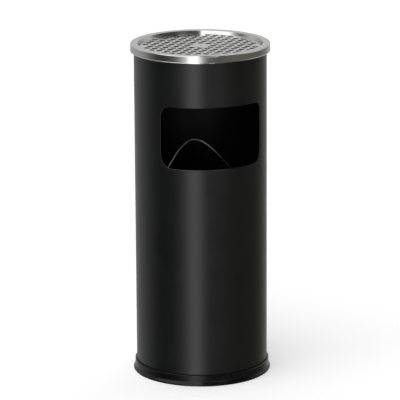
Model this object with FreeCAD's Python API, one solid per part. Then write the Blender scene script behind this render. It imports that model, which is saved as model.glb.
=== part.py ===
import FreeCAD, Part
import math
import os

from FreeCAD import Vector

# Free-standing ash bin. Millimetres, +Z up, origin at the centre of the foot on the ground.
# The waste opening faces -Y.

# ---- driving dimensions ----
OVERALL_HEIGHT = 610.0
SHELL_RADIUS = 120.0
RIM_RADIUS = 126.5
FOOT_RADIUS = 126.0

# shell
SHELL_SHEET = 0.9
SHELL_BOTTOM = 6.0
SHELL_CURL = 1.5              # hollow radius of the rolled top edge
OPENING_HALF_ANGLE = 49.4     # degrees, seen from the axis
OPENING_LOW = 401.9
OPENING_HIGH = 513.9
OPENING_TOP_CORNER = 20.0
OPENING_LOW_CORNER = 24.5
HEM_WIDTH = 5.0               # edge of the opening folded back inside
SEAM_WIDTH = 10.0
SEAM_FACING = 130.0            # degrees from +X, at the back and to the left

# foot ring and base pan
FOOT_HEIGHT = 19.5
FOOT_GROOVE = 0.35            # between the collar's upper edge and the tube
FOOT_COLLAR_RADIUS = 123.1
FOOT_COLLAR_LOW = 7.5
FOOT_COLLAR_BEND = 4.0        # hollow curve from the collar out to the bottom band
FOOT_BAND = 2.6               # height of the bottom band's shoulder
FOOT_SHOULDER = 0.9
FOOT_INNER_RADIUS = 114.0
FOOT_EDGE = 1.5
PAN_TOP = 14.0
PAN_BEND = 3.0
PAN_RECESS_RADIUS = 98.0      # pressed-down middle of the pan
PAN_RECESS = 2.0

# inner bucket
LINER_RADIUS = 113.0
LINER_SHEET = 0.7
LINER_FOOT = 14.3
LINER_TOP = 322.0
LINER_CURL = 1.25
LINER_FLOOR = 20.0
LINER_FLANGE_FOOT = 15.0
LINER_RECESS_RADIUS = 92.0
LINER_RECESS = 1.5
RIM_WIRE_RADIUS = 1.2

# bail: a blunt arch of wire across the bucket
PIVOT_HEIGHT = 310.0
BAIL_TURN = 14.0              # degrees, pivot axis away from +X
BAIL_LEAN = 15.0              # degrees, arch leans away from the opening
BAIL_WIRE_RADIUS = 1.5
BAIL_RISE = 118.0
BAIL_SLOPE = 1.568
BAIL_BLUNTNESS = 66.0
BAIL_STEPS = 7                # points along each half of the arch
BAIL_FOOT = 107.75            # where the arch meets the bend of the hook
BAIL_HOOK_START = 112.7
BAIL_HOOK_BEND = 6.0
BAIL_END = 115.0
BAIL_HEAD_RADIUS = 3.5
BAIL_HEAD = 1.6
PIVOT_HOLE_RADIUS = 1.95

# bail ears and their rivets
EAR_SHEET = 1.2
EAR_HALF_WIDTH = 13.0
EAR_LOW = 296.0
EAR_HIGH = 317.5
EAR_CORNER = 5.0
RIVET_SPREAD = 8.0            # each rivet's distance from the ear's middle
RIVET_HEIGHT = 301.5
RIVET_RADIUS = 1.6
RIVET_HEAD_RADIUS = 3.0
RIVET_HEAD = 1.1

# ash tray
TRAY_SHEET = 0.8
SKIRT_DROP = 14.5
SKIRT_SET_BACK = 0.4          # skirt inside the bead that ends it
SKIRT_BEAD = 1.1
RIM_BEND = 2.0
RIM_INNER_BEND = 1.2
RIM_INNER_RADIUS = 112.7
LEDGE_RADIUS = 109.9
LEDGE_INNER_RADIUS = 106.0
LEDGE_HEIGHT = 601.8
LEDGE_BEND = 0.9
BOWL_FLANGE_RADIUS = 109.0    # lies on the ledge, under the grid
WELL_RADIUS = 104.6
WELL_BEND = 1.6
WELL_FLOOR_RADIUS = 98.0
WELL_FLOOR = 568.0
WELL_FLOOR_BEND = 6.0

# grid
GRID_RADIUS = 109.2
GRID_BOTTOM = 602.8
GRID_SHEET = 1.2
GRID_PITCH = 14.95
GRID_TURN = 56.0              # degrees, one row of holes away from +X
GRID_HOLE_RADIUS = 5.7
GRID_NEAREST = 1.0            # pitches: no hole's middle is nearer to the axis
GRID_FARTHEST = 6.7           # pitches: no hole's middle is farther from the axis

GAP = 0.3                     # between pieces that lift off each other
FULL_TURN = 360.0
Z_AXIS = Vector(0, 0, 1)


# ---- shape helpers ----
def in_section(radius, height):
    """A point of a cross-section, in the XZ plane."""
    return Vector(radius, 0, height)


def rounded_loop(corners):
    """Closed wire through (radius, height, bend) corners, with a tangent arc at each bend."""
    points = [in_section(radius, height) for radius, height, bend in corners]
    edges = []
    last_exit = None
    first_entry = None
    for index, (radius, height, bend) in enumerate(corners):
        point = points[index]
        entry = point
        leave = point
        if bend > 0:
            back = (points[index - 1] - point).normalize()
            ahead = (points[(index + 1) % len(points)] - point).normalize()
            half = back.getAngle(ahead) / 2
            reach = bend / math.tan(half)
            inward = (back + ahead).normalize() * (bend / math.sin(half) - bend)
            entry = point + back * reach
            leave = point + ahead * reach
        if last_exit is None:
            first_entry = entry
        else:
            edges.append(Part.makeLine(last_exit, entry))
        if bend > 0:
            edges.append(Part.Arc(entry, point + inward, leave).toShape())
        last_exit = leave
    edges.append(Part.makeLine(last_exit, first_entry))
    return Part.Wire(edges)


def sheet_loop(path, thickness):
    """Corners of a pressed sheet: the path is one face, the other lies to its left."""
    points = [in_section(radius, height) for radius, height, bend in path]
    lefts = []
    for start, end in zip(points, points[1:]):
        along = (end - start).normalize()
        lefts.append(in_section(-along.z, along.x))
    far_side = []
    for index, (radius, height, bend) in enumerate(path):
        before = lefts[max(index - 1, 0)]
        after = lefts[min(index, len(lefts) - 1)]
        middle = (before + after).normalize()
        shift = middle * (thickness / middle.dot(before))
        turn = before.x * after.z - before.z * after.x
        far_bend = 0
        if bend > 0:
            far_bend = bend - math.copysign(thickness, turn)
        far_point = points[index] + shift
        far_side.append((far_point.x, far_point.z, far_bend))
    return list(path) + far_side[::-1]


def revolved(wire):
    return Part.Face(wire).revolve(Vector(0, 0, 0), Z_AXIS, FULL_TURN)


def tube(inner, outer, low, high):
    height = high - low
    base = Vector(0, 0, low)
    return Part.makeCylinder(outer, height, base).cut(Part.makeCylinder(inner, height, base))


def curled_tube(outer_radius, thickness, bottom, top, hollow):
    """Tube whose top edge is rolled outwards through three quarters of a turn."""
    inner_radius = outer_radius - thickness
    reach = hollow + thickness
    centre_radius = inner_radius + reach
    centre_height = top - reach
    diagonal = math.sqrt(0.5)
    outer_arc = Part.Arc(
        in_section(inner_radius, centre_height),
        in_section(centre_radius + reach * diagonal, centre_height + reach * diagonal),
        in_section(centre_radius, centre_height - reach),
    )
    inner_arc = Part.Arc(
        in_section(centre_radius, centre_height - hollow),
        in_section(centre_radius + hollow * diagonal, centre_height + hollow * diagonal),
        in_section(outer_radius, centre_height),
    )
    wall = Part.Wire([
        Part.makeLine(in_section(inner_radius, bottom), in_section(inner_radius, centre_height)),
        outer_arc.toShape(),
        Part.makeLine(
            in_section(centre_radius, centre_height - reach),
            in_section(centre_radius, centre_height - hollow),
        ),
        inner_arc.toShape(),
        Part.makeLine(in_section(outer_radius, centre_height), in_section(outer_radius, bottom)),
        Part.makeLine(in_section(outer_radius, bottom), in_section(inner_radius, bottom)),
    ])
    return revolved(wall)


def sector(inner, outer, low, high, half_angle, facing):
    """Slice of a ring, centred on the direction `facing` (degrees from +X)."""
    profile = Part.makePolygon([
        in_section(inner, low), in_section(outer, low),
        in_section(outer, high), in_section(inner, high), in_section(inner, low),
    ])
    slice_ = Part.Face(profile).revolve(Vector(0, 0, 0), Z_AXIS, 2 * half_angle)
    slice_.rotate(Vector(0, 0, 0), Z_AXIS, facing - half_angle)
    return slice_


def rounded_window(radius, low, high, half_width, corners, facing):
    """Radial block with rounded edges; half_width is its half arc length at `radius`.

    `corners` gives the rounding of the lower edges and of the upper ones.
    """
    inner = radius / 2
    outer = radius * 1.25
    block = sector(inner, outer, low, high, math.degrees(half_width / radius), facing)
    middle = (low + high) / 2
    for corner, is_upper in zip(corners, (False, True)):
        radial = []
        for edge in block.Edges:
            start = edge.Vertexes[0].Point
            end = edge.Vertexes[-1].Point
            depth = abs(math.hypot(start.x, start.y) - math.hypot(end.x, end.y))
            if depth > 0.9 * (outer - inner) and (start.z > middle) == is_upper:
                radial.append(edge)
        block = block.makeFillet(corner, radial)
    return block


def radial_rod(radius, start, end, height, offset=0.0):
    """Cylinder that points outwards along +X, `offset` to the side."""
    return Part.makeCylinder(radius, end - start, Vector(start, offset, height), Vector(1, 0, 0))


def turned(shape, degrees):
    copy = shape.copy()
    copy.rotate(Vector(0, 0, 0), Z_AXIS, degrees)
    return copy


BAIL_SIDES = (BAIL_TURN, BAIL_TURN + FULL_TURN / 2)


# ---- body ----
def body_shell():
    inner_radius = SHELL_RADIUS - SHELL_SHEET
    top = OVERALL_HEIGHT - TRAY_SHEET - GAP
    front = -90.0
    half_width = math.radians(OPENING_HALF_ANGLE) * SHELL_RADIUS
    opening = rounded_window(
        SHELL_RADIUS, OPENING_LOW, OPENING_HIGH, half_width,
        (OPENING_LOW_CORNER, OPENING_TOP_CORNER), front,
    )
    hem_outline = rounded_window(
        SHELL_RADIUS, OPENING_LOW - HEM_WIDTH, OPENING_HIGH + HEM_WIDTH,
        half_width + HEM_WIDTH,
        (OPENING_LOW_CORNER + HEM_WIDTH, OPENING_TOP_CORNER + HEM_WIDTH), front,
    )
    lining = tube(inner_radius - SHELL_SHEET, inner_radius, PAN_TOP, OPENING_HIGH + 2 * HEM_WIDTH)
    hem = lining.common(hem_outline)
    seam_half_angle = math.degrees(SEAM_WIDTH / 2 / SHELL_RADIUS)
    seam = sector(
        inner_radius - SHELL_SHEET, inner_radius,
        PAN_TOP + PAN_BEND, top - 3 * SHELL_CURL, seam_half_angle, SEAM_FACING,
    )
    shell = curled_tube(SHELL_RADIUS, SHELL_SHEET, SHELL_BOTTOM, top, SHELL_CURL)
    return shell.fuse([hem, seam]).cut(opening).removeSplitter()


def base_pan():
    outer = SHELL_RADIUS - SHELL_SHEET
    path = [
        (outer, SHELL_BOTTOM, 0),
        (outer, PAN_TOP, PAN_BEND),
        (PAN_RECESS_RADIUS, PAN_TOP, PAN_RECESS),
        (PAN_RECESS_RADIUS - PAN_RECESS, PAN_TOP - PAN_RECESS, PAN_RECESS),
        (0, PAN_TOP - PAN_RECESS, 0),
    ]
    return revolved(rounded_loop(sheet_loop(path, SHELL_SHEET)))


def base_ring():
    slot_inner = SHELL_RADIUS - 2 * SHELL_SHEET
    inner_top = PAN_TOP - SHELL_SHEET - PAN_BEND
    profile = [
        (FOOT_INNER_RADIUS, 0, FOOT_EDGE),
        (FOOT_RADIUS, 0, FOOT_SHOULDER),
        (FOOT_RADIUS, FOOT_BAND, FOOT_SHOULDER),
        (FOOT_COLLAR_RADIUS, FOOT_COLLAR_LOW, FOOT_COLLAR_BEND),
        (FOOT_COLLAR_RADIUS, FOOT_HEIGHT, FOOT_SHOULDER),
        (SHELL_RADIUS + FOOT_GROOVE, FOOT_HEIGHT, 0),
        (SHELL_RADIUS, FOOT_HEIGHT - 3 * FOOT_GROOVE, 0),
        (SHELL_RADIUS, SHELL_BOTTOM, 0),
        (slot_inner, SHELL_BOTTOM, 0),
        (slot_inner, inner_top, 0),
        (FOOT_INNER_RADIUS, inner_top, FOOT_EDGE),
    ]
    return revolved(rounded_loop(profile))


# ---- inner bucket ----
def pivot_and_rivet_holes():
    """Cutters for one ear, on the +X side."""
    start = LINER_RADIUS - 3 * EAR_SHEET
    end = LINER_RADIUS + 3 * EAR_SHEET
    holes = [radial_rod(PIVOT_HOLE_RADIUS, start, end, PIVOT_HEIGHT)]
    for offset in (-RIVET_SPREAD, RIVET_SPREAD):
        holes.append(radial_rod(RIVET_RADIUS, start, end, RIVET_HEIGHT, offset))
    return holes


def liner_wall():
    wall = curled_tube(LINER_RADIUS, LINER_SHEET, LINER_FOOT, LINER_TOP, LINER_CURL)
    inner = LINER_RADIUS - LINER_SHEET
    seam_half_angle = math.degrees(SEAM_WIDTH / 2 / LINER_RADIUS)
    seam = sector(
        inner - LINER_SHEET, inner,
        LINER_FLOOR + LINER_SHEET, LINER_TOP - 3 * LINER_CURL, seam_half_angle, 90.0,
    )
    holes = []
    for side in BAIL_SIDES:
        for hole in pivot_and_rivet_holes():
            holes.append(turned(hole, side))
    return wall.fuse(seam).cut(Part.makeCompound(holes)).removeSplitter()


def liner_bottom():
    outer = LINER_RADIUS - LINER_SHEET
    path = [
        (outer, LINER_FLANGE_FOOT, 0),
        (outer, LINER_FLOOR, PAN_BEND),
        (LINER_RECESS_RADIUS, LINER_FLOOR, LINER_RECESS),
        (LINER_RECESS_RADIUS - LINER_RECESS, LINER_FLOOR - LINER_RECESS, LINER_RECESS),
        (0, LINER_FLOOR - LINER_RECESS, 0),
    ]
    return revolved(rounded_loop(sheet_loop(path, LINER_SHEET)))


def liner_rim_wire():
    reach = LINER_CURL + LINER_SHEET
    centre_radius = LINER_RADIUS - LINER_SHEET + reach
    return Part.makeTorus(centre_radius, RIM_WIRE_RADIUS, Vector(0, 0, LINER_TOP - reach))


def bail_ear(side):
    outer = LINER_RADIUS + EAR_SHEET
    corners = (EAR_CORNER, EAR_CORNER)
    outline = rounded_window(LINER_RADIUS, EAR_LOW, EAR_HIGH, EAR_HALF_WIDTH, corners, 0.0)
    plate = tube(LINER_RADIUS, outer, EAR_LOW, EAR_HIGH).common(outline)
    return turned(plate.cut(Part.makeCompound(pivot_and_rivet_holes())), side)


def ear_rivets():
    inner = LINER_RADIUS - LINER_SHEET
    outer = LINER_RADIUS + EAR_SHEET
    sag = LINER_RADIUS - math.sqrt(LINER_RADIUS ** 2 - RIVET_SPREAD ** 2)
    rivets = []
    for side in BAIL_SIDES:
        for offset in (-RIVET_SPREAD, RIVET_SPREAD):
            start = inner - sag
            end = outer - sag
            shank = radial_rod(RIVET_RADIUS, start, end, RIVET_HEIGHT, offset)
            inner_head = radial_rod(RIVET_HEAD_RADIUS, start - RIVET_HEAD, start, RIVET_HEIGHT, offset)
            outer_head = radial_rod(RIVET_HEAD_RADIUS, end, end + RIVET_HEAD, RIVET_HEIGHT, offset)
            rivets.append(turned(shank.fuse([inner_head, outer_head]).removeSplitter(), side))
    return Part.makeCompound(rivets)


# ---- bail ----
def arch_height(offset):
    """Height of the bail's centre line over the pivot axis, `offset` along that axis."""
    return BAIL_RISE - (math.hypot(BAIL_SLOPE * offset, BAIL_BLUNTNESS) - BAIL_BLUNTNESS)


def bail_wire():
    arch_points = []
    for index in range(-BAIL_STEPS, BAIL_STEPS + 1):
        offset = BAIL_FOOT * math.sin(index / BAIL_STEPS * math.pi / 2)
        arch_points.append(Vector(offset, 0, arch_height(offset)))
    slope_at_foot = math.atan2(arch_height(BAIL_FOOT - 1) - arch_height(BAIL_FOOT), 1.0)
    arch = Part.BSplineCurve()
    rise = Vector(math.cos(slope_at_foot), 0, math.sin(slope_at_foot))
    fall = Vector(math.cos(slope_at_foot), 0, -math.sin(slope_at_foot))
    arch.interpolate(Points=arch_points, InitialTangent=rise, FinalTangent=fall)
    hook = Part.Arc(
        Vector(BAIL_FOOT, 0, arch_height(BAIL_FOOT)),
        Vector(
            BAIL_HOOK_START - BAIL_HOOK_BEND * math.sin(slope_at_foot / 2), 0,
            BAIL_HOOK_BEND * (1 - math.cos(slope_at_foot / 2)),
        ),
        Vector(BAIL_HOOK_START, 0, 0),
    ).toShape()
    mirrored_hook = hook.mirror(Vector(0, 0, 0), Vector(1, 0, 0))
    spine = Part.Wire(Part.__sortEdges__([
        Part.makeLine(Vector(-BAIL_END, 0, 0), Vector(-BAIL_HOOK_START, 0, 0)),
        mirrored_hook,
        arch.toShape(),
        hook,
        Part.makeLine(Vector(BAIL_HOOK_START, 0, 0), Vector(BAIL_END, 0, 0)),
    ]))
    section = Part.Wire(Part.makeCircle(BAIL_WIRE_RADIUS, Vector(-BAIL_END, 0, 0), Vector(1, 0, 0)))
    wire = spine.makePipeShell([section], True, True)
    heads = []
    for direction in (-1, 1):
        start = Vector(direction * BAIL_END, 0, 0)
        heads.append(Part.makeCylinder(BAIL_HEAD_RADIUS, BAIL_HEAD, start, Vector(direction, 0, 0)))
    bail = wire.fuse(heads)
    bail.rotate(Vector(0, 0, 0), Vector(1, 0, 0), -BAIL_LEAN)
    bail.rotate(Vector(0, 0, 0), Z_AXIS, BAIL_TURN)
    bail.translate(Vector(0, 0, PIVOT_HEIGHT))
    return bail


# ---- ash tray and grid ----
def tray_rim():
    skirt_radius = RIM_RADIUS - SKIRT_SET_BACK
    skirt_bottom = OVERALL_HEIGHT - SKIRT_DROP
    path = [
        (skirt_radius, skirt_bottom + SKIRT_BEAD, 0),
        (skirt_radius, OVERALL_HEIGHT, RIM_BEND),
        (RIM_INNER_RADIUS, OVERALL_HEIGHT, RIM_INNER_BEND),
        (LEDGE_RADIUS, LEDGE_HEIGHT, LEDGE_BEND),
        (LEDGE_INNER_RADIUS, LEDGE_HEIGHT, 0),
    ]
    ring = revolved(rounded_loop(sheet_loop(path, TRAY_SHEET)))
    bead = Part.makeTorus(RIM_RADIUS - SKIRT_BEAD, SKIRT_BEAD, Vector(0, 0, skirt_bottom + SKIRT_BEAD))
    return ring.fuse(bead).removeSplitter()


def tray_bowl():
    flange_height = LEDGE_HEIGHT + TRAY_SHEET
    path = [
        (BOWL_FLANGE_RADIUS, flange_height, 0),
        (WELL_RADIUS, flange_height, WELL_BEND),
        (WELL_FLOOR_RADIUS, WELL_FLOOR, WELL_FLOOR_BEND),
        (0, WELL_FLOOR, 0),
    ]
    return revolved(rounded_loop(sheet_loop(path, TRAY_SHEET)))


def grid_plate():
    """Round sheet with a square pattern of round holes; the four at the axis are left out."""
    plate = Part.makeCylinder(GRID_RADIUS, GRID_SHEET, Vector(0, 0, GRID_BOTTOM))
    steps = math.ceil(GRID_FARTHEST)
    holes = []
    for row in range(-steps, steps):
        for column in range(-steps, steps):
            along = column + 0.5
            across = row + 0.5
            if GRID_NEAREST < math.hypot(along, across) < GRID_FARTHEST:
                middle = Vector(along * GRID_PITCH, across * GRID_PITCH, GRID_BOTTOM - GRID_SHEET)
                holes.append(Part.makeCylinder(GRID_HOLE_RADIUS, 3 * GRID_SHEET, middle))
    return plate.cut(turned(Part.makeCompound(holes), GRID_TURN))


PARTS = {
    "body_shell": body_shell(),
    "base_pan": base_pan(),
    "base_ring": base_ring(),
    "liner_wall": liner_wall(),
    "liner_bottom": liner_bottom(),
    "liner_rim_wire": liner_rim_wire(),
    "bail_ear_right": bail_ear(BAIL_SIDES[0]),
    "bail_ear_left": bail_ear(BAIL_SIDES[1]),
    "ear_rivets": ear_rivets(),
    "bail_wire": bail_wire(),
    "tray_rim": tray_rim(),
    "tray_bowl": tray_bowl(),
    "grid_plate": grid_plate(),
}

os.makedirs("parts", exist_ok=True)
for name, shape in PARTS.items():
    print(f"{name:16} valid {shape.isValid()}  solids {len(shape.Solids)}  volume {shape.Volume:10.1f} mm3")
    shape.exportStep(os.path.join("parts", name + ".step"))
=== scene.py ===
import math

import bmesh
import bpy
from mathutils import Matrix, Vector


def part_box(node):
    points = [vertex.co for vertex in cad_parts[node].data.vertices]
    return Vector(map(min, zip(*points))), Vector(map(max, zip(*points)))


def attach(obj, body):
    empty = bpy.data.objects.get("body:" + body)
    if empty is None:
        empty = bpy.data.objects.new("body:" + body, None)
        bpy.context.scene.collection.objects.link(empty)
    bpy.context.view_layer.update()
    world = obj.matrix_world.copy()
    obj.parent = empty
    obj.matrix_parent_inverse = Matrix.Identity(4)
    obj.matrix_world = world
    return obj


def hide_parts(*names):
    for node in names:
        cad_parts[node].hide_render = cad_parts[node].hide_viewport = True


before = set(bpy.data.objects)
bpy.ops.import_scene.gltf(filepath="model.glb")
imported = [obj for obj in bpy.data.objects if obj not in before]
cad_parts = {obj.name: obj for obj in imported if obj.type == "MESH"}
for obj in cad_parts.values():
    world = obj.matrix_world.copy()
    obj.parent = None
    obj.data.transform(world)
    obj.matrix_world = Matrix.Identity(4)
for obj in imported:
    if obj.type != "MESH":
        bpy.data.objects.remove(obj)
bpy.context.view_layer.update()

# ---------------------------------------------------------------- sizes, in metres
MM = 0.001
SHELL_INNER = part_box("base_pan")[1].x           # the pan fills the tube
SHEET = 0.9 * MM
SHELL_OUTER = SHELL_INNER + SHEET
SHELL_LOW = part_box("body_shell")[0].z
SHELL_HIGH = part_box("body_shell")[1].z

WINDOW_LOW = 401.9 * MM
WINDOW_HIGH = 513.9 * MM
WINDOW_HALF = math.radians(49.4) * SHELL_OUTER  # half width, along the tube's surface
WINDOW_LOW_CORNER = 24.5 * MM
WINDOW_TOP_CORNER = 20 * MM

GRID_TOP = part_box("grid_plate")[1].z
GRID_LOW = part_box("grid_plate")[0].z
GRID_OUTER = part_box("grid_plate")[1].x
GRID_EDGE = 0.25 * MM                           # bend of the punched edges

FULL = 2 * math.pi
QUARTER = math.pi / 2


# ---------------------------------------------------------------- mesh helpers
def mesh_object(name, bm, body, material, replaces):
    """Finishes a bmesh as a smooth piece of the object."""
    bmesh.ops.recalc_face_normals(bm, faces=bm.faces)
    mesh = bpy.data.meshes.new(name)
    bm.to_mesh(mesh)
    bm.free()
    mesh.shade_smooth()
    mesh.materials.append(material)
    piece = bpy.data.objects.new(name, mesh)
    bpy.context.scene.collection.objects.link(piece)
    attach(piece, body)
    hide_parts(*replaces)


def join_rings(bm, first, second):
    """Faces between two closed rings of the same length."""
    for index in range(len(first)):
        following = (index + 1) % len(first)
        bm.faces.new((first[index], first[following], second[following], second[index]))


def join_all(bm, rings):
    """Faces between each ring and the next."""
    for first, second in zip(rings, rings[1:]):
        join_rings(bm, first, second)


# ---------------------------------------------------------------- material helpers
# sockets of a Mix node that mixes colours
MIX_SHARE, MIX_FIRST, MIX_SECOND, MIX_RESULT = 0, 6, 7, 2


def new_material(name):
    material = bpy.data.materials.new(name)
    material.use_nodes = True
    tree = material.node_tree
    return material, tree, tree.nodes["Principled BSDF"]


def node(tree, kind, inputs=None, **settings):
    """New node; each of its inputs is given as a socket to link or as a value."""
    made = tree.nodes.new(kind)
    for key, value in settings.items():
        setattr(made, key, value)
    for key, value in (inputs or {}).items():
        if isinstance(value, bpy.types.NodeSocket):
            tree.links.new(value, made.inputs[key])
        else:
            made.inputs[key].default_value = value
    return made


def arithmetic(tree, operation, first, second):
    made = node(tree, "ShaderNodeMath", {0: first, 1: second}, operation=operation)
    return made.outputs["Value"]


def vector(tree, operation, first, second=None, result="Vector"):
    inputs = {0: first} if second is None else {0: first, 1: second}
    return node(tree, "ShaderNodeVectorMath", inputs, operation=operation).outputs[result]


def mix_colours(tree, share, first, second):
    inputs = {MIX_SHARE: share, MIX_FIRST: first, MIX_SECOND: second}
    return node(tree, "ShaderNodeMix", inputs, data_type="RGBA").outputs[MIX_RESULT]


def ramp(tree, value, stops):
    """Colour ramp from (position, grey or colour) stops."""
    made = node(tree, "ShaderNodeValToRGB", {"Fac": value})
    elements = made.color_ramp.elements
    while len(elements) < len(stops):
        elements.new(0.5)
    for element, (position, colour) in zip(elements, stops):
        element.position = position
        if isinstance(colour, (int, float)):
            colour = (colour, colour, colour)
        element.color = (*colour, 1)
    return made.outputs["Color"]


def object_position(tree):
    return node(tree, "ShaderNodeTexCoord").outputs["Object"]


def stretched(tree, scale):
    """Object coordinates, each axis times its own scale."""
    inputs = {"Vector": object_position(tree), "Scale": scale}
    return node(tree, "ShaderNodeMapping", inputs).outputs["Vector"]


def flattened(tree, position):
    """The part of a position that is across the bin's axis."""
    return vector(tree, "MULTIPLY", position, (1, 1, 0))


def noise(tree, place, scale=1, detail=3.0, roughness=0.5):
    made = node(tree, "ShaderNodeTexNoise", {
        "Vector": place, "Scale": scale, "Detail": detail, "Roughness": roughness,
    })
    return made.outputs["Fac"]


def ranged(tree, value, low, high, from_low=0.0, from_high=1.0):
    """Value carried from one range to another, and kept inside it."""
    made = node(tree, "ShaderNodeMapRange", {
        "Value": value, "From Min": from_low, "From Max": from_high, "To Min": low, "To Max": high,
    })
    return made.outputs["Result"]


def bump(tree, shader, height, distance, strength, under=None):
    """Bump on a shader, over the bump whose normal is `under`."""
    inputs = {"Height": height, "Distance": distance, "Strength": strength}
    if under is not None:
        inputs["Normal"] = under
    normal = node(tree, "ShaderNodeBump", inputs).outputs["Normal"]
    tree.links.new(normal, shader.inputs["Normal"])
    return normal


# ---------------------------------------------------------------- materials
# near-black painted shade, laid into the steel where shade falls: the bowl's -X side, the grid's
# hole walls and its underside
PAINTED_SHADE_COLOUR = (0.012, 0.011, 0.01, 1)
COAT_COLOURS = [(0.3, (0.0022, 0.0025, 0.0027)), (0.75, (0.0032, 0.0035, 0.0035))]
PLASTIC_COLOURS = [(0.5, (0.0022, 0.0022, 0.0024)), (0.8, (0.008, 0.008, 0.0085))]
ZINC_COLOURS = [(0.0, (0.33, 0.345, 0.355)), (1.0, (0.5, 0.51, 0.515))]
WIRE_COLOURS = [(0.3, (0.66, 0.66, 0.65)), (0.7, (0.82, 0.82, 0.81))]


def powder_coat():
    """Satin black stoved coating: fine orange peel, cloudy gloss, duller inside the tube."""
    material, tree, shader = new_material("black_powder_coat")
    place = object_position(tree)
    clouds = noise(tree, place, scale=18, detail=4, roughness=0.55)
    peel = noise(tree, place, scale=420, detail=2)
    specks = noise(tree, place, scale=900, detail=2, roughness=0.6)
    radius = vector(tree, "LENGTH", flattened(tree, place), result="Value")
    wall = {"from_low": SHELL_INNER, "from_high": SHELL_INNER + SHEET / 2}

    gloss = ranged(tree, clouds, low=0.27, high=0.32, from_low=0.3, from_high=0.7)
    dulled = ranged(tree, radius, low=0.15, high=0.0, **wall)
    specular = ranged(tree, radius, low=0.14, high=0.5, **wall)
    tree.links.new(ramp(tree, clouds, COAT_COLOURS), shader.inputs["Base Color"])
    tree.links.new(arithmetic(tree, "ADD", gloss, dulled), shader.inputs["Roughness"])
    tree.links.new(specular, shader.inputs["Specular IOR Level"])
    lower = bump(tree, shader, peel, distance=0.06 * MM, strength=0.35)
    bump(tree, shader, specks, distance=0.02 * MM, strength=0.35, under=lower)
    return material


def foot_plastic():
    """Black moulded plastic: glossy skin, faint flow lines round the ring, small scuffs."""
    material, tree, shader = new_material("foot_plastic")
    flow = noise(tree, stretched(tree, (6, 6, 900)), detail=3, roughness=0.6)
    scuffs = noise(tree, stretched(tree, (60, 60, 260)), detail=6, roughness=0.7)
    grain = noise(tree, object_position(tree), scale=700, detail=2)

    gloss = ranged(tree, scuffs, low=0.16, high=0.34, from_low=0.4, from_high=0.8)
    tree.links.new(ramp(tree, scuffs, PLASTIC_COLOURS), shader.inputs["Base Color"])
    tree.links.new(gloss, shader.inputs["Roughness"])
    shader.inputs["Specular IOR Level"].default_value = 0.28
    lower = bump(tree, shader, flow, distance=0.08 * MM, strength=0.25)
    bump(tree, shader, grain, distance=0.03 * MM, strength=0.3, under=lower)
    return material


def painted_shade_in_well(tree, split, clouds):
    """Share of painted shade: the well is painted near-black towards -X, where shade falls, and
    left as bare metal towards +X.
    """
    wander = ranged(tree, clouds, low=-0.06, high=0.06)
    place = arithmetic(tree, "ADD", split.outputs["X"], wander)
    return ranged(tree, place, low=0.98, high=0, from_low=-0.02, from_high=0.06)


def painted_shade_in_holes(tree, split, clouds):
    """Share of painted shade: the walls of the grid's holes and its underside are painted dark, as
    the shade inside the holes and under the sheet.
    """
    wander = ranged(tree, clouds, low=-GRID_EDGE / 2, high=GRID_EDGE / 2)
    place = arithmetic(tree, "ADD", split.outputs["Z"], wander)
    bend = {"from_low": GRID_TOP - 2 * GRID_EDGE, "from_high": GRID_TOP - GRID_EDGE}
    return ranged(tree, place, low=0.92, high=0, **bend)


def turned_steel(name, colour, rough, lines_per_metre, strength, cloudiness=0.12, shade_share=None):
    """Stainless sheet with fine lines round the axis and cloudy patches.

    The last argument is the function that gives the share of painted shade: where it is high, the
    metal is painted near-black in place of shade.
    """
    material, tree, shader = new_material(name)
    position = object_position(tree)
    split = node(tree, "ShaderNodeSeparateXYZ", {"Vector": position})
    flat = flattened(tree, position)
    lines = arithmetic(
        tree, "MULTIPLY", vector(tree, "LENGTH", flat, result="Value"), lines_per_metre,
    )
    drop = arithmetic(tree, "MULTIPLY", split.outputs["Z"], lines_per_metre)
    across = node(tree, "ShaderNodeCombineXYZ", {"Z": arithmetic(tree, "ADD", lines, drop)})
    along = vector(tree, "MULTIPLY", vector(tree, "NORMALIZE", flat), (3, 3, 0))
    brushed = vector(tree, "ADD", along, across.outputs["Vector"])
    streaks = noise(tree, brushed, detail=4, roughness=0.65)
    clouds = noise(tree, position, scale=25)
    mixed = arithmetic(tree, "ADD", streaks, clouds)

    deep = tuple(channel * (1 - cloudiness) for channel in colour)
    metal = ramp(tree, mixed, [(0.35, deep), (0.65, colour)])
    # painted shade: the metal is mixed towards near-black by the given share
    if shade_share:
        metal = mix_colours(tree, shade_share(tree, split, clouds), metal, PAINTED_SHADE_COLOUR)
    gloss = ranged(
        tree, mixed, low=rough - 0.04, high=rough + 0.05, from_low=0.7, from_high=1.3,
    )
    tree.links.new(metal, shader.inputs["Base Color"])
    tree.links.new(gloss, shader.inputs["Roughness"])
    shader.inputs["Metallic"].default_value = 1.0
    bump(tree, shader, streaks, distance=0.02 * MM, strength=strength)
    return material


def galvanised():
    """Zinc-coated sheet: crystal spangle in dull greys."""
    material, tree, shader = new_material("galvanised_sheet")
    place = object_position(tree)
    cells = node(tree, "ShaderNodeTexVoronoi", {"Vector": place, "Scale": 110.0, "Randomness": 1.0})
    grey = node(tree, "ShaderNodeSeparateColor", {"Color": cells.outputs["Color"]}).outputs["Red"]
    fine = noise(tree, place, scale=300)
    blend = arithmetic(tree, "ADD", grey, fine)

    spread_of_blend = {"from_low": 0.3, "from_high": 1.7}
    shade = ranged(tree, blend, low=0, high=1, **spread_of_blend)
    gloss = ranged(tree, blend, low=0.32, high=0.55, **spread_of_blend)
    tree.links.new(ramp(tree, shade, ZINC_COLOURS), shader.inputs["Base Color"])
    tree.links.new(gloss, shader.inputs["Roughness"])
    shader.inputs["Metallic"].default_value = 1.0
    bump(tree, shader, fine, distance=0.03 * MM, strength=0.3)
    return material


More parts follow.
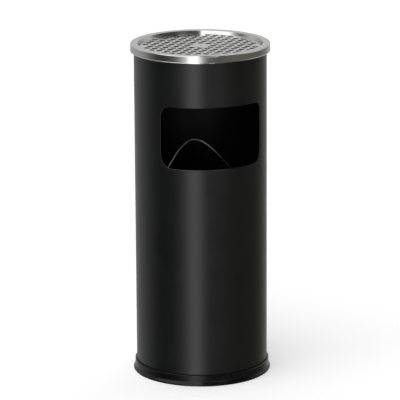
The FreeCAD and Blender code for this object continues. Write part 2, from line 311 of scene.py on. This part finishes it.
def drawn_wire():
    """Bright drawn steel wire, with fine drawing marks and faint tarnish."""
    material, tree, shader = new_material("drawn_wire")
    marks = noise(tree, stretched(tree, (250, 900, 900)))
    tarnish = noise(tree, object_position(tree), scale=60, detail=4)

    tree.links.new(ramp(tree, tarnish, WIRE_COLOURS), shader.inputs["Base Color"])
    tree.links.new(ranged(tree, marks, low=0.24, high=0.36), shader.inputs["Roughness"])
    shader.inputs["Metallic"].default_value = 1.0
    bump(tree, shader, marks, distance=0.02 * MM, strength=0.3)
    return material


COAT = powder_coat()
PLASTIC = foot_plastic()
RIM_STEEL = turned_steel(
    "rim_steel", (0.62, 0.615, 0.595), rough=0.12, lines_per_metre=2600, strength=0.07,
)
# the bowl carries painted shade: near-black towards -X, bare metal towards +X
BOWL_STEEL = turned_steel(
    "bowl_steel", (0.5, 0.475, 0.43), rough=0.2, lines_per_metre=1500, strength=0.2,
    cloudiness=0.4, shade_share=painted_shade_in_well,
)
# the grid carries painted shade on the walls of its holes and on its underside
GRID_STEEL = turned_steel(
    "grid_steel", (0.66, 0.66, 0.645), rough=0.17, lines_per_metre=500, strength=0.1,
    shade_share=painted_shade_in_holes,
)
ZINC = galvanised()
WIRE = drawn_wire()


# ---------------------------------------------------------------- CAD nodes kept as they are
CAD_FINISHES = {
    "base_pan": COAT,
    "base_ring": PLASTIC,
    "liner_wall": ZINC,
    "liner_bottom": ZINC,
    "liner_rim_wire": WIRE,
    "bail_ear_right": ZINC,
    "bail_ear_left": ZINC,
    "ear_rivets": WIRE,
    "bail_wire": WIRE,
    "tray_rim": RIM_STEEL,
    "tray_bowl": BOWL_STEEL,
}

for cad_name, cad_material in CAD_FINISHES.items():
    cad_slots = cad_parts[cad_name].data.materials
    cad_slots.clear()
    cad_slots.append(cad_material)


# ---------------------------------------------------------------- body shell
PATCH_MARGIN = 16 * MM                          # from the opening to the edge of its patch
CORNER_STEPS = 8                                # columns or rows of the patch beside each corner
ARC_STEPS = 2 * CORNER_STEPS
WIDE_STEPS = 44
TALL_STEPS = 22
BACK_STEPS = 96
ROWS_BELOW = 24
ROWS_ABOVE = 6
PATCH_RINGS = 5
RING_CROWDING = 1.3                             # over 1, the rings crowd towards the opening

SEAM_ANGLE = math.radians(220)                  # round from the front, at the back and to the left
SEAM_MIDDLE = SEAM_ANGLE * SHELL_OUTER
SEAM_GROOVE = 0.35 * MM
SEAM_GROOVE_HALF = 0.7 * MM
SEAM_LAP_HALF = 5 * MM
SEAM_MARKS = [
    SEAM_MIDDLE + side * distance
    for side in (-1, 1)
    for distance in (SEAM_GROOVE_HALF / 3, SEAM_GROOVE_HALF, 2 * SEAM_GROOVE_HALF, SEAM_LAP_HALF)
]

HEM = 5 * MM
HEM_HOLE = HEM + 0.3 * MM                       # hole in the inner face, just past the hem
NOSE = SHEET                                    # the folded edge is two sheets thick
NOSE_STEPS = 8
HEM_FACE = SHELL_INNER - SHEET
HEM_SECTION = [                                 # (distance out from the opening, radius)
    (NOSE + 0.5 * MM, HEM_FACE),
    (HEM - 0.5 * MM, HEM_FACE),
    (HEM - 0.15 * MM, HEM_FACE + 0.1 * MM),
    (HEM, HEM_FACE + 0.4 * MM),
    (HEM + 0.05 * MM, SHELL_INNER - 0.1 * MM),
]

CURL_HOLLOW = 1.5 * MM
CURL_REACH = CURL_HOLLOW + SHEET
CURL_RADIUS = SHELL_INNER + CURL_REACH          # of the curl's own centre, from the axis
CURL_HEIGHT = SHELL_HIGH - CURL_REACH
CURL_TURN = 1.5 * math.pi
CURL_INNER_STEPS = 15
CURL_OUTER_STEPS = 18


def wrapped(along, height, radius):
    """Point on a cylinder; `along` is measured round the tube's outside from the front."""
    angle = along / SHELL_OUTER
    return (radius * math.sin(angle), -radius * math.cos(angle), height)


def spread(start, end, steps):
    """Evenly spaced values, without the last."""
    return [start + (end - start) * step / steps for step in range(steps)]


def blended(start, end, share):
    """Point a share of the way between two."""
    return tuple(a + (b - a) * share for a, b in zip(start, end))


def on_corner(corner, share):
    """Point a share of the way round a corner of the opening: (along, height)."""
    (along, height), radius, start = corner
    angle = start + QUARTER * share
    return (along + radius * math.cos(angle), height + radius * math.sin(angle))


def window_outline(offset):
    """Rounded rectangle round the waste opening, grown by `offset`: a list of (along, height)."""
    corners = []
    for index, (side, end) in enumerate(((1, 1), (-1, 1), (-1, -1), (1, -1))):
        radius = WINDOW_TOP_CORNER if end > 0 else WINDOW_LOW_CORNER
        edge = WINDOW_HIGH if end > 0 else WINDOW_LOW
        centre = (side * (WINDOW_HALF - radius), edge - end * radius)
        corners.append((centre, radius + offset, index * QUARTER))
    points = []
    for index, corner in enumerate(corners):
        points += [on_corner(corner, step / ARC_STEPS) for step in range(ARC_STEPS)]
        leaving = on_corner(corner, 1)
        arriving = on_corner(corners[(index + 1) % len(corners)], 0)
        steps = TALL_STEPS if index % 2 else WIDE_STEPS
        points += [blended(leaving, arriving, step / steps) for step in range(steps)]
    return points


def patch_columns():
    """Column positions across the patch that holds the opening."""
    outer = WINDOW_HALF + PATCH_MARGIN
    inner = WINDOW_HALF - WINDOW_TOP_CORNER
    return (
        spread(-outer, -inner, CORNER_STEPS) + spread(-inner, inner, WIDE_STEPS)
        + spread(inner, outer, CORNER_STEPS) + [outer]
    )


def patch_rows():
    """Row heights of that patch."""
    low = WINDOW_LOW - PATCH_MARGIN
    high = WINDOW_HIGH + PATCH_MARGIN
    straight_low = WINDOW_LOW + WINDOW_LOW_CORNER
    straight_high = WINDOW_HIGH - WINDOW_TOP_CORNER
    return (
        spread(low, straight_low, CORNER_STEPS) + spread(straight_low, straight_high, TALL_STEPS)
        + spread(straight_high, high, CORNER_STEPS) + [high]
    )


def back_columns(start, end):
    """Column positions round the back, with the seam's own among them."""
    evenly = [
        value for value in spread(start, end, BACK_STEPS)[1:]
        if all(abs(value - mark) > SEAM_GROOVE_HALF for mark in SEAM_MARKS)
    ]
    return sorted(evenly + SEAM_MARKS)


def patch_border(right, low, high):
    """The patch's border, anticlockwise from below the upper right corner: (column, row) keys."""
    start = high - CORNER_STEPS
    return (
        [(right, row) for row in range(start, high)]
        + [(column, high) for column in range(right, 0, -1)]
        + [(0, row) for row in range(high, low, -1)]
        + [(column, low) for column in range(right)]
        + [(right, row) for row in range(low, start)]
    )


def outer_depth(distance):
    """How far the outer face is sunk at this distance from the middle of the seam."""
    return SEAM_GROOVE if distance < SEAM_GROOVE_HALF / 2 else 0.0


def inner_depth(distance):
    """How far the inner face stands inwards there."""
    return SHEET if distance < SEAM_LAP_HALF - SEAM_GROOVE_HALF else 0.0


def shell_wall(bm, radius, hole_offset, depth):
    """One face of the tube: a grid, with a patch of rings round the opening.

    Returns the columns' positions and the loops at the bottom, the top and the opening.
    """
    columns = patch_columns()
    right = len(columns) - 1
    columns += back_columns(columns[-1], FULL * SHELL_OUTER - columns[-1])
    rows = spread(SHELL_LOW, WINDOW_LOW - PATCH_MARGIN, ROWS_BELOW)
    low = len(rows)
    rows += patch_rows()
    high = len(rows) - 1
    rows += spread(WINDOW_HIGH + PATCH_MARGIN, CURL_HEIGHT, ROWS_ABOVE)[1:] + [CURL_HEIGHT]

    grid = {}
    for column, along in enumerate(columns):
        sunk = depth(abs(along - SEAM_MIDDLE))
        for row, height in enumerate(rows):
            if not (0 < column < right and low < row < high):
                grid[column, row] = bm.verts.new(wrapped(along, height, radius - sunk))
    for column in range(len(columns)):
        following = (column + 1) % len(columns)
        for row in range(len(rows) - 1):
            if not (column < right and low <= row < high):
                bm.faces.new((
                    grid[column, row], grid[following, row],
                    grid[following, row + 1], grid[column, row + 1],
                ))

    border = patch_border(right, low, high)
    outline = window_outline(hole_offset)
    assert len(outline) == len(border)
    rings = []
    for ring in range(PATCH_RINGS):
        share = (ring / PATCH_RINGS) ** RING_CROWDING
        rings.append([
            bm.verts.new(wrapped(*blended(hole, (columns[column], rows[row]), share), radius))
            for hole, (column, row) in zip(outline, border)
        ])
    rings.append([grid[key] for key in border])
    join_all(bm, rings)

    bottom = [grid[column, 0] for column in range(len(columns))]
    top = [grid[column, len(rows) - 1] for column in range(len(columns))]
    return columns, bottom, top, rings[0]


def fold_section():
    """Section of the opening's folded edge: round nose, then the hem lying inside."""
    nose = []
    for step in range(1, NOSE_STEPS + 1):
        angle = math.pi * step / NOSE_STEPS
        nose.append((NOSE - NOSE * math.sin(angle), SHELL_OUTER - NOSE + NOSE * math.cos(angle)))
    return nose + HEM_SECTION


def curl_section():
    """Section of the rolled top edge, as (radius, height): inside of the curl, then outside."""
    turns = [
        (CURL_HOLLOW, math.pi - CURL_TURN * step / CURL_INNER_STEPS)
        for step in range(1, CURL_INNER_STEPS + 1)
    ] + [
        (CURL_REACH, CURL_TURN * step / CURL_OUTER_STEPS - QUARTER)
        for step in range(CURL_OUTER_STEPS)
    ]
    return [
        (CURL_RADIUS + size * math.cos(angle), CURL_HEIGHT + size * math.sin(angle))
        for size, angle in turns
    ]


def build_shell():
    bm = bmesh.new()
    columns, outer_low, outer_high, outer_hole = shell_wall(bm, SHELL_OUTER, NOSE, outer_depth)
    _, inner_low, inner_high, inner_hole = shell_wall(bm, SHELL_INNER, HEM_HOLE, inner_depth)
    join_rings(bm, outer_low, inner_low)

    folds = [
        [bm.verts.new(wrapped(*point, radius)) for point in window_outline(offset)]
        for offset, radius in fold_section()
    ]
    join_all(bm, [outer_hole, *folds, inner_hole])

    curls = [
        [bm.verts.new(wrapped(along, height, radius)) for along in columns]
        for radius, height in curl_section()
    ]
    join_all(bm, [outer_high, *curls, inner_high])
    return bm


mesh_object("shell_tube", build_shell(), "shell", COAT, replaces=["body_shell"])


# ---------------------------------------------------------------- grid
PITCH = 14.95 * MM
GRID_TURN = math.radians(56)
HOLE_RADIUS = 5.7 * MM
NEAREST = 1.0                                   # pitches from the axis to the middle of a hole
FARTHEST = 6.7
HALF_SIDE_STEPS = 6                             # points along half a side of a hole's square cell
GRID_SUPPORT = 0.12 * MM                        # width of the flat faces beside each bend
EDGE_STEPS = 3
GRID_SEGMENTS = 200


def cell_outline():
    """Points round a square cell of the pattern, anticlockwise."""
    half = PITCH / 2
    points = []
    for quarter in range(4):
        turn = Matrix.Rotation(quarter * QUARTER, 2)
        for step in range(HALF_SIDE_STEPS):
            points.append(turn @ Vector((half, half * step / HALF_SIDE_STEPS)))
        for step in range(HALF_SIDE_STEPS):
            points.append(turn @ Vector((half * (1 - step / HALF_SIDE_STEPS), half)))
    return points


def sheet_edge():
    """Section of the sheet's edge from its underside to its top: (distance in, height)."""
    bends = [QUARTER * step / EDGE_STEPS for step in range(EDGE_STEPS + 1)]
    section = [(GRID_EDGE + GRID_SUPPORT, GRID_LOW)]
    for middle, side, angles in (
        (GRID_LOW + GRID_EDGE, -1, reversed(bends)),
        (GRID_TOP - GRID_EDGE, 1, bends),
    ):
        for angle in angles:
            inwards = GRID_EDGE * (1 - math.cos(angle))
            section.append((inwards, middle + side * GRID_EDGE * math.sin(angle)))
    section.append((GRID_EDGE + GRID_SUPPORT, GRID_TOP))
    return section


def build_grid():
    bm = bmesh.new()
    outline = cell_outline()
    turn = Matrix.Rotation(GRID_TURN, 2)
    shared = {}

    def vertex(point, height):
        """Vertex of the pattern, the same one for cells that meet there."""
        key = (round(point.x / MM, 3), round(point.y / MM, 3), height)
        if key not in shared:
            shared[key] = bm.verts.new((*(turn @ point), height))
        return shared[key]

    def add_plain_cell(centre, border, height):
        hub = vertex(centre, height)
        for index, corner in enumerate(border):
            bm.faces.new((corner, border[(index + 1) % len(border)], hub))

    steps = math.ceil(FARTHEST)
    for row in range(-steps, steps):
        for column in range(-steps, steps):
            away = math.hypot(column + 0.5, row + 0.5)
            if away > FARTHEST:
                continue
            centre = Vector((column + 0.5, row + 0.5)) * PITCH
            border_low = [vertex(centre + side, GRID_LOW) for side in outline]
            border_top = [vertex(centre + side, GRID_TOP) for side in outline]
            if away < NEAREST:
                add_plain_cell(centre, border_low, GRID_LOW)
                add_plain_cell(centre, border_top, GRID_TOP)
                continue
            hole = []
            for inset, height in sheet_edge():
                radius = HOLE_RADIUS + inset
                ring = [vertex(centre + side.normalized() * radius, height) for side in outline]
                hole.append(ring)
            join_all(bm, [border_low, *hole, border_top])

    # the sheet's outer edge, then the plain border between it and the pattern
    angles = [FULL * index / GRID_SEGMENTS for index in range(GRID_SEGMENTS)]
    rings = []
    for inset, height in sheet_edge():
        radius = GRID_OUTER - inset
        rings.append([
            bm.verts.new((radius * math.cos(angle), radius * math.sin(angle), height))
            for angle in angles
        ])
    join_all(bm, rings)
    for height in (GRID_LOW, GRID_TOP):
        rim = [
            edge for edge in bm.edges
            if edge.is_boundary
            and all(abs(corner.co.z - height) < GRID_SUPPORT for corner in edge.verts)
        ]
        bmesh.ops.triangle_fill(bm, use_beauty=True, edges=rim)
    return bm


mesh_object("ash_grid", build_grid(), "grid", GRID_STEEL, replaces=["grid_plate"])


# ---------------------------------------------------------------- camera
CAMERA_AZIMUTH = math.radians(-12.9)
CAMERA_DISTANCE = 5.0
CAMERA_HEIGHT = 1.6042
CAMERA_PITCH = math.radians(14.44)
CAMERA_YAW = math.radians(-0.0216)
CAMERA_ROLL = math.radians(0.3242)
CAMERA_LENS = 254.5
CAMERA_SENSOR = 36
CAMERA_CLIP_END = 60

# level directions away from the camera and to its right; the studio is set by them too
FORWARD = Vector((-math.sin(CAMERA_AZIMUTH), math.cos(CAMERA_AZIMUTH), 0))
RIGHTWARD = Vector((math.cos(CAMERA_AZIMUTH), math.sin(CAMERA_AZIMUTH), 0))
UPWARD = Vector((0, 0, 1))


def rotated(first, second, angle):
    """Two square directions, both turned by an angle from the second towards the first."""
    return (
        first * math.cos(angle) - second * math.sin(angle),
        first * math.sin(angle) + second * math.cos(angle),
    )


def add_camera():
    right, ahead = rotated(RIGHTWARD, FORWARD, CAMERA_YAW)
    look, upright = rotated(ahead, UPWARD, CAMERA_PITCH)
    camera_x, camera_y = rotated(right, upright, CAMERA_ROLL)
    data = bpy.data.cameras.new("camera")
    data.lens = CAMERA_LENS
    data.sensor_width = CAMERA_SENSOR
    data.clip_end = CAMERA_CLIP_END
    camera = bpy.data.objects.new("camera", data)
    bpy.context.scene.collection.objects.link(camera)
    place = Matrix.Translation(UPWARD * CAMERA_HEIGHT - FORWARD * CAMERA_DISTANCE)
    camera.matrix_world = place @ Matrix((camera_x, camera_y, -look)).transposed().to_4x4()
    bpy.context.scene.camera = camera


add_camera()


# ---------------------------------------------------------------- studio
FLOOR_HALF = 30
FLOOR_GAP = 0.2 * MM                            # keeps the floor clear of the foot ring's flat
FLOOR_GREY = 0.92
FLOOR_ROUGHNESS = 0.9
FLOOR_GLOW = 0.38
WHITE = (1, 1, 1, 1)


def warm(level):
    return (level * 1.04, level, level * 0.86)


def cool(level):
    return (level * 0.95, level, level * 1.06)


# The room, as bands of brightness stacked from the floor up. In each band: degrees from
# straight behind the object, to the right, with the brightness there. The lower one is what
# the tube and the skirt mirror, the horizon one the bail, the middle one the rim's flat and
# the grid, and the upper one the slope inside the rim.
LOWER_ROOM = [
    (-180, 1.0), (-174, 1.8), (-164, 1.9), (-156, 0.8), (-147, 0.38), (-136, 0.12),
    (-120, cool(0.05)), (-104, cool(0.06)), (-90, 0.16), (-78, 0.3), (-62, 0.42), (-40, 0.44),
    (0, 0.5), (28, 0.46), (46, warm(0.24)), (66, warm(0.15)), (95, warm(0.14)),
    (125, warm(0.16)), (150, warm(0.1)), (166, 0.14), (174, 0.4), (180, 1.0),
]
HORIZON_ROOM = [
    (-180, 1.2), (-174, 2.2), (-163, 2.2), (-155, 0.6), (-140, 0.1), (-110, 0.1), (-90, 0.14),
    (-78, 0.3), (-62, 0.5), (62, 0.5), (78, 0.25), (100, warm(0.12)), (133, 0.14), (139, 2.6),
    (164, 2.6), (169, 0.6), (180, 1.2),
]
MIDDLE_ROOM = [
    (-180, 0.3), (-172, 1.7), (-122, 1.7), (-110, 0.5), (-96, 0.2), (-82, 0.46), (-70, 0.63),
    (70, 0.63), (84, 0.2), (100, warm(0.09)), (150, warm(0.06)), (174, 0.08), (180, 0.3),
]
UPPER_ROOM = [
    (-180, 0.4), (-176, 2.4), (-170, 2.4), (-164, 1.5), (-100, 1.5), (-86, 0.8), (-70, 0.73),
    (72, 0.73), (84, 0.2), (104, warm(0.07)), (127, warm(0.05)), (131, cool(0.3)),
    (150, cool(0.3)), (154, 0.1), (178, 0.12), (180, 0.4),
]
BAND_STARTS = (-0.1, 0.1, 0.4)                  # upward part of the direction, above the lowest
BAND_BLEND = 0.06


def stage_floor():
    bm = bmesh.new()
    bmesh.ops.create_grid(bm, x_segments=1, y_segments=1, size=FLOOR_HALF)
    mesh = bpy.data.meshes.new("floor")
    bm.to_mesh(mesh)
    bm.free()
    floor = bpy.data.objects.new("floor", mesh)
    floor.location.z = -FLOOR_GAP
    bpy.context.scene.collection.objects.link(floor)
    material, _, shader = new_material("floor_paint")
    shader.inputs["Base Color"].default_value = (FLOOR_GREY, FLOOR_GREY, FLOOR_GREY, 1)
    shader.inputs["Roughness"].default_value = FLOOR_ROUGHNESS
    shader.inputs["Specular IOR Level"].default_value = 0.0
    shader.inputs["Emission Color"].default_value = WHITE
    shader.inputs["Emission Strength"].default_value = FLOOR_GLOW
    mesh.materials.append(material)
    floor.visible_glossy = False
    floor.visible_shadow = False


def studio_world():
    """Soft light all round from the room's bands; the camera itself sees plain white."""
    world = bpy.data.worlds.new("studio")
    bpy.context.scene.world = world
    world.use_nodes = True
    tree = world.node_tree
    background = tree.nodes["Background"]
    direction = node(tree, "ShaderNodeTexCoord").outputs["Generated"]
    upward = node(tree, "ShaderNodeSeparateXYZ", {"Vector": direction}).outputs["Z"]
    ahead = vector(tree, "DOT_PRODUCT", direction, FORWARD, result="Value")
    aside = vector(tree, "DOT_PRODUCT", direction, RIGHTWARD, result="Value")
    angle = arithmetic(tree, "ARCTAN2", aside, ahead)
    place = ranged(tree, angle, low=0, high=1, from_low=-math.pi, from_high=math.pi)
    bands = [
        ramp(tree, place, [(0.5 + degrees / 360, colour) for degrees, colour in band])
        for band in (LOWER_ROOM, HORIZON_ROOM, MIDDLE_ROOM, UPPER_ROOM)
    ]
    room = bands[0]
    for band, start in zip(bands[1:], BAND_STARTS):
        share = ranged(tree, upward, low=0, high=1, from_low=start, from_high=start + BAND_BLEND)
        room = mix_colours(tree, share, room, band)
    seen = node(tree, "ShaderNodeLightPath").outputs["Is Camera Ray"]
    tree.links.new(mix_colours(tree, seen, room, WHITE), background.inputs["Color"])
    background.inputs["Strength"].default_value = 1.0


stage_floor()
studio_world()

scene = bpy.context.scene
scene.view_settings.view_transform = "Standard"
scene.view_settings.look = "None"
